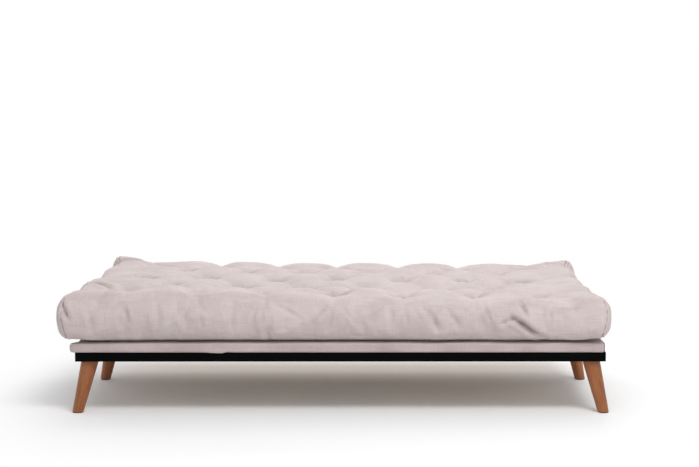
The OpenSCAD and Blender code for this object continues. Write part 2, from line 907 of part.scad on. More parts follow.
module mattress_fold() {
    color(MATTRESS_FABRIC) intersection() {
        mattress_block();
        fold_wedge(1 - soft_gap);
    }
}

module mattress_back() {
    mattress_half_block(REAR);
}

front_rail();
rear_rail();
rail_end_caps();
side_rail(LEFT);  // side_rail_left
side_rail(RIGHT);  // side_rail_right
cross_member(0);  // cross_member_left
cross_member(1);  // cross_member_centre
cross_member(2);  // cross_member_right
leg_plates();
leg(LEFT, FRONT);  // leg_front_left
leg(RIGHT, FRONT);  // leg_front_right
leg(LEFT, REAR);  // leg_rear_left
leg(RIGHT, REAR);  // leg_rear_right
leg_bolts();
foot_glides();
rest_buffers();
seat_front_board();
seat_rear_board();
seat_end_board(LEFT);  // seat_end_board_left
seat_end_board(RIGHT);  // seat_end_board_right
seat_bearers();
seat_slats();
seat_slat_holders();
deck_bolts();
seat_pad();
back_front_board();
back_top_board();
back_end_board(LEFT);  // back_end_board_left
back_end_board(RIGHT);  // back_end_board_right
back_bearers();
back_slats();
back_slat_holders();
back_pad();
hinge_plate(LEFT);  // hinge_plate_left
hinge_plate(RIGHT);  // hinge_plate_right
hinge_arm(LEFT);  // hinge_arm_left
hinge_arm(RIGHT);  // hinge_arm_right
hinge_pin(LEFT);  // hinge_pin_left
hinge_pin(RIGHT);  // hinge_pin_right
hinge_washers();
hinge_bolts();
arm_screws();
pawl(LEFT);  // pawl_left
pawl(RIGHT);  // pawl_right
pawl_pin_and_post(LEFT);  // pawl_pin_left
pawl_pin_and_post(RIGHT);  // pawl_pin_right
pawl_spring(LEFT);  // pawl_spring_left
pawl_spring(RIGHT);  // pawl_spring_right
mattress_seat();
mattress_fold();
mattress_back();
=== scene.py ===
"""Visual model of a click-clack futon sofa bed: a tufted mattress on two padded, slatted decks."""
import math

import bpy
import numpy as np
from mathutils import Euler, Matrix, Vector


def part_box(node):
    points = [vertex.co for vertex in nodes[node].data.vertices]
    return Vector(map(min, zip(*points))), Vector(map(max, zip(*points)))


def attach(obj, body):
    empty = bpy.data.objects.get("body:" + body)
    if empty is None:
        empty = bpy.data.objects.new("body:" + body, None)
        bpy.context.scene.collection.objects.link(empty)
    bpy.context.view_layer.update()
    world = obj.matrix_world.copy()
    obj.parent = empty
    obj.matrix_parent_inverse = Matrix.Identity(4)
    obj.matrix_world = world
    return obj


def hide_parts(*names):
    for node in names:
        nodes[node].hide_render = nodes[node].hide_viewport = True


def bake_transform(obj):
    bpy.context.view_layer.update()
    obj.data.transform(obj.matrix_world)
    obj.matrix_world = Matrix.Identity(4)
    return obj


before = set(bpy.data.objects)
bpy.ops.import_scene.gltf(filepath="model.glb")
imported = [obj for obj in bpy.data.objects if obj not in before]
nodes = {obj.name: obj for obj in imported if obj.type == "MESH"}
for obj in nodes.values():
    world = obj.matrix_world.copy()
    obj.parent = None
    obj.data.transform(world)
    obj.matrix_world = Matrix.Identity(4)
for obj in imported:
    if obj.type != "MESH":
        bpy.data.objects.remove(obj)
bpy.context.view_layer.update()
rng = np.random.default_rng(11)

# ---- places taken from the frame ----

pin_low, pin_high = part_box("hinge_pin_right")
PIVOT = Vector((0, (pin_low.y + pin_high.y) / 2, (pin_low.z + pin_high.z) / 2))
seat_low, seat_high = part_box("mattress_seat")
FRONT_Y = seat_low.y
REAR_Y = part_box("mattress_back")[1].y
BOTTOM_Z = seat_low.z
TOP_Z = seat_high.z
HALF_X = seat_high.x

# The mattress lies a little to the left of the frame's middle
SHIFT_X = -0.020
# Depth of the band on each side of the hinge line that bends when the back folds up
FOLD_REACH = 0.20

# ---- noise that is the same in every run ----


def noise2(u, v, seed):
    """Smooth noise from -1 to 1 on a unit lattice that repeats after size steps."""
    size = 64
    grid = np.random.default_rng(seed).random((size, size))
    iu = np.floor(u).astype(int)
    iv = np.floor(v).astype(int)
    fu = u - iu
    fv = v - iv
    fu = fu * fu * (3 - 2 * fu)
    fv = fv * fv * (3 - 2 * fv)
    a = grid[iu % size, iv % size]
    b = grid[(iu + 1) % size, iv % size]
    c = grid[iu % size, (iv + 1) % size]
    d = grid[(iu + 1) % size, (iv + 1) % size]
    low = a + (b - a) * fu
    high = c + (d - c) * fu
    return 2 * (low + (high - low) * fv) - 1


def fractal(u, v, seed, octaves=3):
    """Sum of noise layers, each twice as fine and half as strong as the one before."""
    total = np.zeros_like(u)
    for octave in range(octaves):
        total += noise2(u * 2**octave, v * 2**octave, seed + octave) / 2**octave
    return total


def smoothstep(x, low, high):
    """0 below low and 1 above high, with a smooth rise between them."""
    t = np.clip((x - low) / (high - low), 0, 1)
    return t * t * (3 - 2 * t)


# ---- meshes ----


def stretch(low, high, step, ends=()):
    """Evenly spaced values from low to high, with the values in ends added at both sides."""
    count = max(2, int(round((high - low) / step)))
    values = set(np.round(np.linspace(low, high, count + 1), 6))
    for inset in ends:
        values.add(round(low + inset, 6))
        values.add(round(high - inset, 6))
    return np.array(sorted(values))


class BoxSurface:
    """The six faces of a box as one closed quad mesh, with a lattice plane at each given x, y and z."""

    def __init__(self, xs, ys, zs):
        self.xs, self.ys, self.zs = xs, ys, zs
        self.index = {}
        self.points = []
        self.faces = []
        self.uvs = []
        nx, ny, nz = len(xs) - 1, len(ys) - 1, len(zs) - 1
        for i in range(nx):
            for j in range(ny):
                self.quad([(i, j, nz), (i + 1, j, nz), (i + 1, j + 1, nz), (i, j + 1, nz)], 0, 1)
                self.quad([(i, j, 0), (i, j + 1, 0), (i + 1, j + 1, 0), (i + 1, j, 0)], 0, 1)
        for i in range(nx):
            for k in range(nz):
                self.quad([(i, 0, k), (i + 1, 0, k), (i + 1, 0, k + 1), (i, 0, k + 1)], 0, 2)
                self.quad([(i, ny, k), (i, ny, k + 1), (i + 1, ny, k + 1), (i + 1, ny, k)], 0, 2)
        for j in range(ny):
            for k in range(nz):
                self.quad([(0, j, k), (0, j, k + 1), (0, j + 1, k + 1), (0, j + 1, k)], 1, 2)
                self.quad([(nx, j, k), (nx, j + 1, k), (nx, j + 1, k + 1), (nx, j, k + 1)], 1, 2)
        self.points = np.array(self.points)

    def vertex(self, key):
        if key not in self.index:
            self.index[key] = len(self.points)
            i, j, k = key
            self.points.append((self.xs[i], self.ys[j], self.zs[k]))
        return self.index[key]

    def quad(self, keys, u_axis, v_axis):
        face = [self.vertex(key) for key in keys]
        self.faces.append(face)
        self.uvs.append([(self.points[n][u_axis], self.points[n][v_axis]) for n in face])


def make_object(name, points, faces, uvs=None, smooth=True):
    """Mesh object from points and faces, with uvs holding a pair for each corner of each face."""
    mesh = bpy.data.meshes.new(name)
    mesh.from_pydata([tuple(p) for p in points], [], faces)
    if uvs is not None:
        layer = mesh.uv_layers.new(name="UVMap")
        flat = np.array([uv for face in uvs for uv in face], np.float32).ravel()
        layer.data.foreach_set("uv", flat)
    mesh.update()
    if smooth:
        mesh.polygons.foreach_set("use_smooth", [True] * len(mesh.polygons))
    piece = bpy.data.objects.new(name, mesh)
    bpy.context.scene.collection.objects.link(piece)
    return piece


def vertex_values(mesh, key):
    """The x, y and z of every vertex's place, key "co", or direction, key "normal"."""
    flat = np.empty(len(mesh.vertices) * 3, np.float32)
    mesh.vertices.foreach_get(key, flat)
    return flat.reshape(-1, 3).astype(float)


def set_coordinates(mesh, points):
    mesh.vertices.foreach_set("co", points.astype(np.float32).ravel())
    mesh.update()


def apply_modifiers(piece):
    """Puts the mesh that the modifiers make in place of the piece's own."""
    bpy.context.view_layer.update()
    depsgraph = bpy.context.evaluated_depsgraph_get()
    final = piece.evaluated_get(depsgraph)
    mesh = bpy.data.meshes.new_from_object(final, preserve_all_data_layers=True, depsgraph=depsgraph)
    piece.modifiers.clear()
    old = piece.data
    piece.data = mesh
    bpy.data.meshes.remove(old)


def subdivide(piece):
    modifier = piece.modifiers.new("subdivide", "SUBSURF")
    modifier.levels = modifier.render_levels = 1
    modifier.uv_smooth = "NONE"
    apply_modifiers(piece)


def rounded(points, low, high, radius):
    """Moves points on a box's surface on to the same box with rounded edges.

    The radius has a value per axis, and may differ from point to point."""
    inner = np.clip(points, low + radius, high - radius)
    out = (points - inner) / radius
    length = np.linalg.norm(out, axis=1, keepdims=True)
    near = length[:, 0] > 1e-9
    moved = inner + out / np.maximum(length, 1e-9) * radius
    moved[~near] = points[~near]
    return moved


# ---- materials ----


class Nodes:
    """Short names for building a node tree."""

    def __init__(self, name):
        self.material = bpy.data.materials.new(name)
        self.material.use_nodes = True
        self.tree = self.material.node_tree
        self.tree.nodes.clear()
        self.out = self.tree.nodes.new("ShaderNodeOutputMaterial")
        self.shader = self.tree.nodes.new("ShaderNodeBsdfPrincipled")
        self.link(self.shader.outputs[0], self.out.inputs[0])

    def link(self, a, b):
        self.tree.links.new(a, b)

    def add(self, kind, **values):
        node = self.tree.nodes.new(kind)
        for key, value in values.items():
            setattr(node, key, value)
        return node

    def feed(self, socket, value):
        if hasattr(value, "is_output"):
            self.link(value, socket)
        elif hasattr(value, "__len__") and len(value) == 3 and socket.type == "RGBA":
            socket.default_value = (*value, 1.0)
        else:
            socket.default_value = value

    def math(self, operation, a, b=0.0, c=0.0):
        node = self.add("ShaderNodeMath", operation=operation)
        self.feed(node.inputs[0], a)
        self.feed(node.inputs[1], b)
        self.feed(node.inputs[2], c)
        return node.outputs[0]

    def place(self):
        """Coordinates in metres in the piece's own frame."""
        return self.add("ShaderNodeTexCoord").outputs["Object"]

    def mapping(self, vector, scale, rotation=(0, 0, 0)):
        node = self.add("ShaderNodeMapping")
        self.link(vector, node.inputs["Vector"])
        node.inputs["Scale"].default_value = scale
        node.inputs["Rotation"].default_value = rotation
        return node.outputs[0]

    def noise(self, vector, scale, detail=3.0, roughness=0.5, distortion=0.0):
        node = self.add("ShaderNodeTexNoise")
        self.link(vector, node.inputs["Vector"])
        node.inputs["Scale"].default_value = scale
        node.inputs["Detail"].default_value = detail
        node.inputs["Roughness"].default_value = roughness
        node.inputs["Distortion"].default_value = distortion
        return node.outputs[0]

    def ramp(self, value, stops):
        node = self.add("ShaderNodeValToRGB")
        self.link(value, node.inputs[0])
        elements = node.color_ramp.elements
        while len(elements) < len(stops):
            elements.new(0.5)
        for element, (position, color) in zip(elements, stops):
            element.position = position
            element.color = (*color, 1.0)
        return node.outputs[0]

    def mix(self, factor, a, b):
        node = self.add("ShaderNodeMix", data_type="RGBA")
        self.feed(node.inputs[0], factor)
        self.feed(node.inputs[6], a if hasattr(a, "is_output") else (*a, 1.0))
        self.feed(node.inputs[7], b if hasattr(b, "is_output") else (*b, 1.0))
        return node.outputs[2]

    def mix_shaders(self, factor, a, b):
        node = self.add("ShaderNodeMixShader")
        for socket, value in zip(node.inputs, (factor, a, b)):
            self.link(value, socket)
        return node.outputs[0]

    def bump(self, height, strength, distance, normal=None):
        node = self.add("ShaderNodeBump")
        node.inputs["Strength"].default_value = strength
        node.inputs["Distance"].default_value = distance
        self.link(height, node.inputs["Height"])
        if normal is not None:
            self.link(normal, node.inputs["Normal"])
        return node.outputs[0]

    def worn_edges(self, radius):
        """Mask that is 1 on a mesh's sharp outer edges, broken up by noise, with the rounded normal."""
        bevel = self.add("ShaderNodeBevel", samples=6)
        bevel.inputs["Radius"].default_value = radius
        plain = self.add("ShaderNodeNewGeometry").outputs["Normal"]
        turn = self.add("ShaderNodeVectorMath", operation="DOT_PRODUCT")
        self.link(bevel.outputs[0], turn.inputs[0])
        self.link(plain, turn.inputs[1])
        contrast = 5.0
        edge = self.math("MULTIPLY", self.math("SUBTRACT", 1.0, turn.outputs["Value"]), contrast)
        patches = self.ramp(self.noise(self.place(), 85.0, 3.0), [(0.42, (0, 0, 0)), (0.62, (1, 1, 1))])
        mask = self.math("MINIMUM", self.math("MULTIPLY", edge, patches), 1.0)
        return mask, bevel.outputs[0]

    def set(self, **values):
        """Sets or links the shader's sockets; only colour, roughness and normal are ever linked."""
        names = {"color": "Base Color", "coat": "Coat Weight", "sheen": "Sheen Weight",
                 "specular": "Specular IOR Level"}
        for key, value in values.items():
            socket = names.get(key, key.replace("_", " ").title())
            self.feed(self.shader.inputs[socket], value)


def srgb(r, g, b):
    """Linear colour from sRGB values of 0 to 255."""
    def channel(v):
        v = v / 255
        return v / 12.92 if v <= 0.04045 else ((v + 0.055) / 1.055) ** 2.4
    return (channel(r), channel(g), channel(b))


def linen(name, light, dark, thread=0.0011):
    """Plain linen weave on a UV map in metres, with slubs that run mostly along U, and shade painted
    into its creases.
    """
    n = Nodes(name)
    uv = n.add("ShaderNodeUVMap", uv_map="UVMap").outputs[0]
    wobble = n.noise(uv, 55.0, 2.0)
    split = n.add("ShaderNodeSeparateXYZ")
    n.link(uv, split.inputs[0])
    turns = math.pi / thread
    u = n.math("MULTIPLY_ADD", split.outputs[0], turns, n.math("MULTIPLY", wobble, 3.0))
    v = n.math("MULTIPLY_ADD", split.outputs[1], turns, n.math("MULTIPLY", wobble, 4.0))
    weave = n.math("MULTIPLY", n.math("SINE", u), n.math("SINE", v))
    across = n.noise(n.mapping(uv, (22, 620, 1)), 1.0, 3.0, 0.6)
    along = n.noise(n.mapping(uv, (560, 16, 1)), 1.0, 3.0, 0.6)
    coarse = n.noise(n.mapping(uv, (9, 190, 1)), 1.0, 2.0, 0.5)
    cloud = n.noise(uv, 7.0, 3.0, 0.55)
    slubs = n.math("ADD", n.math("MULTIPLY", across, 0.42), n.math("MULTIPLY", along, 0.40))
    slubs = n.math("ADD", slubs, n.math("MULTIPLY", coarse, 0.18))
    shade = n.math("ADD", n.math("MULTIPLY", slubs, 0.68), n.math("MULTIPLY", cloud, 0.32))
    color = n.ramp(shade, [(0.36, dark), (0.62, light)])
    color = n.mix(n.math("MULTIPLY_ADD", weave, 0.05, 0.05), color, (0.16, 0.12, 0.11))
    # Painted shade: in creases and hollows the colour is darkened towards a warm near-black, as far as
    # the ambient occlusion finds the cover's own surface nearby
    painted_shade_occlusion = n.add("ShaderNodeAmbientOcclusion", samples=8, only_local=True)
    painted_shade_occlusion.inputs["Distance"].default_value = 0.12
    crease = n.math("MAXIMUM", n.math("MULTIPLY_ADD", painted_shade_occlusion.outputs["AO"], -1.35, 1.12), 0.0)
    # Colour of the painted crease shade: the dark slub colour scaled down
    painted_shade_tint = (0.052, 0.038, 0.032)
    color = n.mix(n.math("MULTIPLY", crease, 0.9), color, [c * k for c, k in zip(dark, painted_shade_tint)])
    thick = n.bump(slubs, 0.5, 0.0012)
    fine = n.bump(weave, 0.35, 0.00035, thick)
    n.set(color=color, roughness=0.92, normal=fine, sheen=0.30, sheen_roughness=0.35, specular=0.2)
    return n.material


def powder_coat(name, color):
    n = Nodes(name)
    place = n.place()
    peel = n.noise(place, 900.0, 2.0)
    broad = n.noise(place, 14.0, 3.0)
    worn, rounded_normal = n.worn_edges(0.0012)
    coat = n.ramp(broad, [(0.3, [c * 0.85 for c in color]), (0.7, [c * 1.15 for c in color])])
    n.set(color=n.mix(n.math("MULTIPLY", worn, 0.5), coat, [c * 3 + 0.012 for c in color]),
          roughness=n.math("MULTIPLY_ADD", peel, 0.15, 0.42),
          normal=n.bump(peel, 0.25, 0.0002, rounded_normal), specular=0.022)
    return n.material


def lacquered_beech(name, lean_x, lean_y):
    """Stained beech with grain that follows a splayed leg's length."""
    n = Nodes(name)
    place = n.place()
    turned = n.mapping(place, (1, 1, 1), (lean_y, lean_x, 0))
    fibre = n.noise(n.mapping(turned, (210, 210, 9)), 1.0, 4.0, 0.6, 0.4)
    pores = n.noise(n.mapping(turned, (1500, 1500, 60)), 1.0, 2.0, 0.5)
    broad = n.noise(n.mapping(turned, (16, 16, 5)), 1.0, 3.0, 0.5, 0.6)
    tone = n.math("ADD", n.math("MULTIPLY", fibre, 0.55), n.math("MULTIPLY", broad, 0.45))
    stain = [srgb(110, 62, 32), srgb(152, 92, 52), srgb(178, 116, 70)]
    color = n.ramp(tone, list(zip((0.30, 0.5, 0.72), stain)))
    flecks = n.math("GREATER_THAN", pores, 0.66)
    color = n.mix(n.math("MULTIPLY", flecks, 0.35), color, srgb(84, 46, 24))
    worn, rounded_normal = n.worn_edges(0.0015)
    color = n.mix(n.math("MULTIPLY", worn, 0.45), color, srgb(196, 140, 92))
    n.set(color=color, roughness=n.math("MULTIPLY_ADD", fibre, 0.2, 0.36), specular=0.35,
          coat=0.12, coat_roughness=0.25, normal=n.bump(fibre, 0.2, 0.0004, rounded_normal))
    return n.material


def planed_wood(name, pale, deep, grain):
    """Unfinished sawn wood; grain gives the noise's scale along X, Y and Z."""
    n = Nodes(name)
    place = n.place()
    fibre = n.noise(n.mapping(place, grain), 1.0, 5.0, 0.6, 0.3)
    rings = n.noise(n.mapping(place, tuple(g / 6 for g in grain)), 1.0, 2.0, 0.5, 1.2)
    bands = n.math("SINE", n.math("MULTIPLY", rings, 42.0))
    tone = n.math("ADD", n.math("MULTIPLY", fibre, 0.75), n.math("MULTIPLY", bands, 0.10))
    worn, rounded_normal = n.worn_edges(0.0015)
    saw = n.noise(n.mapping(place, tuple(g * 2.5 for g in grain)), 1.0, 2.0)
    color = n.ramp(tone, [(0.25, deep), (0.6, pale)])
    color = n.mix(n.math("MULTIPLY", worn, 0.30), color, [c * 0.6 for c in deep])
    n.set(color=color, roughness=n.math("MULTIPLY_ADD", saw, 0.25, 0.58),
          normal=n.bump(fibre, 0.35, 0.0006, rounded_normal), specular=0.3)
    return n.material


def zinc(name):
    n = Nodes(name)
    place = n.place()
    spangle = n.noise(place, 420.0, 3.0)
    n.set(color=n.ramp(spangle, [(0.3, (0.48, 0.49, 0.5)), (0.7, (0.66, 0.66, 0.66))]), metallic=1.0,
          roughness=n.math("MULTIPLY_ADD", spangle, 0.25, 0.25), normal=n.bump(spangle, 0.15, 0.0002))
    return n.material


def moulded(name, color, roughness, grain=700.0):
    n = Nodes(name)
    place = n.place()
    fine = n.noise(place, grain, 2.0)
    broad = n.noise(place, 30.0, 2.0)
    n.set(color=n.ramp(broad, [(0.3, [c * 0.8 for c in color]), (0.7, [c * 1.2 for c in color])]),
          roughness=n.math("MULTIPLY_ADD", fine, 0.2, roughness - 0.1),
          normal=n.bump(fine, 0.3, 0.0002))
    return n.material


def felt(name):
    n = Nodes(name)
    place = n.place()
    fibres = n.noise(place, 1400.0, 4.0, 0.7, 1.5)
    n.set(color=n.ramp(fibres, [(0.3, (0.03, 0.028, 0.026)), (0.7, (0.11, 0.1, 0.09))]), roughness=1.0,
          normal=n.bump(fibres, 0.7, 0.0005), specular=0.1)
    return n.material


FABRIC = linen("mattress_linen", srgb(222, 209, 206), srgb(192, 176, 173))
PAD_FABRIC = linen("pad_linen", srgb(208, 193, 191), srgb(174, 158, 156))
THREAD = linen("tuft_cord", srgb(228, 218, 212), srgb(196, 182, 174), 0.0006)
STEEL = powder_coat("black_powder_coat", (0.0021, 0.0022, 0.0024))
HINGE_STEEL = powder_coat("hinge_black", (0.018, 0.018, 0.02))


def set_material(node, material):
    mesh = nodes[node].data
    mesh.materials.clear()
    mesh.materials.append(material)


def dress_frame():
    """Gives every CAD node that shows its finished material."""
    # The legs' slant sideways and front to back, which their grain follows
    splay = math.radians(12)
    lean = math.radians(10)
    pine = (srgb(221, 190, 146), srgb(186, 146, 98))
    pine_x = planed_wood("pine_along", *pine, (7, 160, 160))
    pine_y = planed_wood("pine_across", *pine, (160, 7, 160))
    ply = planed_wood("birch_ply", srgb(232, 207, 168), srgb(205, 172, 126), (240, 9, 240))
    screws = zinc("zinc_plate")
    plastic = moulded("black_polymer", (0.013, 0.013, 0.014), 0.5)
    rubber = moulded("buffer_rubber", (0.012, 0.012, 0.012), 0.8, 300.0)
    nylon = moulded("white_nylon", (0.6, 0.58, 0.52), 0.45)
    for name in nodes:
        if name.startswith("leg_") and name not in ("leg_bolts", "leg_plates"):
            side = 1 if name.endswith("right") else -1
            end = 1 if "rear" in name else -1
            set_material(name, lacquered_beech(name + "_beech", splay * side, -lean * end))
        elif name == "rail_end_caps" or name.endswith("slat_holders"):
            set_material(name, plastic)
        elif "rail" in name or "cross_member" in name or name == "leg_plates":
            set_material(name, STEEL)
        elif name.startswith(("hinge_plate", "hinge_arm")) or name in ("pawl_left", "pawl_right"):
            set_material(name, HINGE_STEEL)
        elif name.endswith("slats"):
            set_material(name, ply)
        elif name.endswith("bearers") or "end_board" in name:
            set_material(name, pine_y)
        elif name.endswith("board"):
            set_material(name, pine_x)
        elif name == "rest_buffers":
            set_material(name, rubber)
        elif name == "foot_glides":
            set_material(name, felt("glide_felt"))
        elif name == "hinge_washers":
            set_material(name, nylon)
        elif not name.startswith(("mattress", "seat_pad", "back_pad")):
            set_material(name, screws)


# ---- mattress ----

# The tufts: rows of seven and six by turns, and the x of a row's middle
TUFT_ROWS = 5
ROW_TUFTS = 7
TUFT_PITCH = 0.252
TUFT_MIDDLE = -0.024
ROW_PITCH = 0.190
FIRST_ROW = FRONT_Y + ROW_PITCH
HALF_ROWS = (TUFT_ROWS - 1) / 2 * ROW_PITCH
MIDDLE_ROW = FIRST_ROW + HALF_ROWS
TUFT_SCATTER = 0.009
PINNED_RADIUS = 0.011

# Depths and heights of the cover's features, in metres
TUFT_DEPTH = 0.060
SEAM_DEPTH = 0.010
UNEVENNESS = 0.005
GATHER_DEPTH = 0.0050
RIPPLE_DEPTH = 0.0013
UPRIGHT_FOLD_DEPTH = 0.0042
ARCH_RISE = 0.016
END_WAIST = 0.018
RIGHT_END_WAIST = 0.016
END_PUCKER = 0.012
SIDE_WAIST = 0.005
SLANT = 0.040
CORNER_POINT = 0.010
EAR_RISE = 0.024
END_BULGE = 0.007
END_RISE = 0.012
SIDE_LEAN = 0.014
EDGE_STAND_OFF = 0.0090

# Radii along x, y and z of the cover's upper and lower edges, along the sides and at the ends
TOP_EDGE = np.array([0.034, 0.080, 0.100])
TOP_CORNER = np.array([0.032, 0.045, 0.046])
BOTTOM_EDGE = np.array([0.034, 0.042, 0.042])
BOTTOM_CORNER = np.array([0.052, 0.050, 0.038])

# The end panels' seams: distance from the ends, and depth and width of the groove and its lips
PANEL_INSET = 0.028
PANEL_GROOVE = (0.0045, 0.0034)
PANEL_LIP = (0.0022, 0.004)
PANEL_LIP_OFFSET = 0.0075
STITCH_PITCH = 0.028

# How the Cloth simulation swells the cover: its length in frames, the furthest a point may move,
# and its settings
SWELL_FRAMES = 20
SWELL_CAP = 0.009
CLOTH = {
    "quality": 5,
    "mass": 0.3,
    "tension_stiffness": 30,
    "compression_stiffness": 12,
    "shear_stiffness": 8,
    "bending_stiffness": 0.25,
    "tension_damping": 8,
    "compression_damping": 8,
    "air_damping": 3,
    "use_pressure": True,
    "uniform_pressure_force": 3.5,
    "shrink_min": -0.035,
    "vertex_group_mass": "pin",
}

# Tucks on the top, as (points, depth, width), with each point as x and y
TOP_FOLDS = [
    ([(-0.985, -0.400), (-0.955, -0.300), (-0.915, -0.270), (-0.860, -0.330), (-0.830, -0.385)],
     0.013, 0.011),
    ([(-0.975, 0.500), (-0.930, 0.470), (-0.860, 0.475), (-0.800, 0.500)], 0.010, 0.010),
    ([(0.955, 0.430), (0.900, 0.440), (0.840, 0.480)], 0.008, 0.010),
]

# Folds on the front face, as (points, depth, width), with each point as x and z
FRONT_FOLDS = [
    ([(0.632, 0.412), (0.650, 0.385), (0.668, 0.355)], 0.013, 0.007),
    ([(0.604, 0.352), (0.640, 0.330), (0.676, 0.302), (0.712, 0.278), (0.736, 0.264)], 0.0188, 0.009),
    ([(0.575, 0.328), (0.600, 0.338), (0.622, 0.348)], 0.0087, 0.006),
    ([(0.300, 0.380), (0.330, 0.340), (0.352, 0.305)], 0.0072, 0.010),
    ([(0.372, 0.392), (0.398, 0.352), (0.420, 0.318)], 0.0072, 0.010),
    ([(0.178, 0.395), (0.182, 0.355), (0.178, 0.300)], 0.0058, 0.009),
    ([(-0.988, 0.400), (-0.976, 0.372), (-0.966, 0.345)], 0.0120, 0.007),
    ([(-0.905, 0.395), (-0.885, 0.350), (-0.880, 0.300)], 0.0058, 0.010),
    ([(-0.655, 0.400), (-0.648, 0.350), (-0.652, 0.295)], 0.0058, 0.012),
    ([(-0.260, 0.300), (-0.252, 0.275), (-0.250, 0.262)], 0.0087, 0.010),
]


def tuft_places():
    """Quincunx of tufts, seven and six to a row."""
    places = []
    for row in range(TUFT_ROWS):
        count = ROW_TUFTS - row % 2
        y = FIRST_ROW + ROW_PITCH * row
        for column in range(count):
            x = TUFT_MIDDLE + TUFT_PITCH * (column - (count - 1) / 2)
            places.append((x, y))
    return np.array(places)


TUFTS = tuft_places()
TUFTS += rng.normal(0, TUFT_SCATTER, TUFTS.shape)
TUFT_PULL = rng.uniform(0.78, 1.12, len(TUFTS))


def tuft_distance(x, y):
    """Distance to the nearest tuft, with the angle round it and its number."""
    dx = x[:, None] - TUFTS[None, :, 0]
    dy = y[:, None] - TUFTS[None, :, 1]
    distance = np.hypot(dx, dy)
    nearest = distance.argmin(axis=1)
    rows = np.arange(len(x))
    return distance[rows, nearest], np.arctan2(dy[rows, nearest], dx[rows, nearest]), nearest


def crease(x, z, points, depth, width):
    """Depth of a fold along a line on a face, deepest in its middle, with a ridge beside it."""
    best = np.full(x.shape, np.inf)
    reach = np.zeros(x.shape)
    total = sum(math.dist(a, b) for a, b in zip(points, points[1:]))
    done = 0.0
    for (x0, z0), (x1, z1) in zip(points, points[1:]):
        length = math.dist((x0, z0), (x1, z1))
        t = np.clip(((x - x0) * (x1 - x0) + (z - z0) * (z1 - z0)) / length**2, 0, 1)
        distance = np.hypot(x - x0 - t * (x1 - x0), z - z0 - t * (z1 - z0))
        closer = distance < best
        best = np.where(closer, distance, best)
        reach = np.where(closer, (done + t * length) / total, reach)
        done += length
    swell = np.sin(np.pi * np.clip(reach, 0.08, 0.92)) ** 0.5
    trough = np.exp(-((best / width) ** 2))
    ridge = np.exp(-(((best - 2.2 * width) / (1.4 * width)) ** 2))
    return depth * swell * (trough - 0.45 * ridge)


def underside_arch(y):
    """Rise of the underside over the fold, so that the mattress can bend there."""
    across = np.clip(np.abs(y - PIVOT.y) / FOLD_REACH, 0, 1)
    return ARCH_RISE * np.cos(across * math.pi / 2) ** 2


def pillow(away, reach, power):
    """Profile beside a seam or tuft: 1 in it and 0 on the crest at reach, rounded like an arch."""
    return (1 - np.clip(away / reach, 0, 1)) ** power


def seam_valley(x, y):
    """Depth of the valleys that join the tufts in diamonds, from 0 on a pillow's top to 1."""
    across = (x - TUFT_MIDDLE) / TUFT_PITCH
    along = (y - FIRST_ROW) / (2 * ROW_PITCH)
    diagonal = [pillow(np.abs(k - np.round(k)), 0.5, 3.6) for k in (across + along, across - along)]
    valley = 1 - (1 - diagonal[0]) * (1 - diagonal[1])
    # Past the outer tufts the valleys run straight out to the edges
    past_rows = np.abs(y - MIDDLE_ROW) - HALF_ROWS
    # They all but fade out over the front edge, and deepen over the rear one
    growth = 1 + np.where(y < MIDDLE_ROW, -0.85, 0.25) * smoothstep(past_rows, 0.0, 0.16)
    to_edge = pillow(np.abs(across - np.round(across)), 0.5, 3.2) * growth
    share = smoothstep(past_rows, -0.01, 0.035)
    valley = valley * (1 - share) + to_edge * share
    near_row = np.abs(along - np.round(along))
    past_ends = np.abs(x - TUFT_MIDDLE) - TUFT_PITCH * ((ROW_TUFTS - 1) / 2 - near_row)
    to_end = pillow(near_row, 0.5, 2.2) * (1 - 0.35 * smoothstep(past_ends, 0.0, 0.18))
    share = smoothstep(past_ends, -0.01, 0.05)
    return valley * (1 - share) + to_end * share


def settling(a, b, y):
    """How far the stuffing has sunk at a along the mattress and b across it, both from -1 to 1."""
    row = (y - FIRST_ROW) / ROW_PITCH
    # Lower to the right, and lowest over the second row, where people sit
    sunk = 0.009 * smoothstep(a, -0.75, 0.0) + 0.007 * smoothstep(a, 0.1, 0.8)
    sunk += 0.016 * np.exp(-((row - 1) / 0.55) ** 2) * smoothstep(a, -0.7, -0.2)
    sunk += 0.009 * np.exp(-((row - 4.05) / 0.28) ** 2) - 0.007 * np.exp(-((row - 3) / 0.5) ** 2)
    front_roll = 1 - smoothstep(b, -0.86, -0.62)
    sunk += front_roll * (0.016 * smoothstep(a, -0.45, 0.05) - 0.006)
    return sunk * (1 - 0.6 * smoothstep(np.abs(a), 0.80, 0.93))


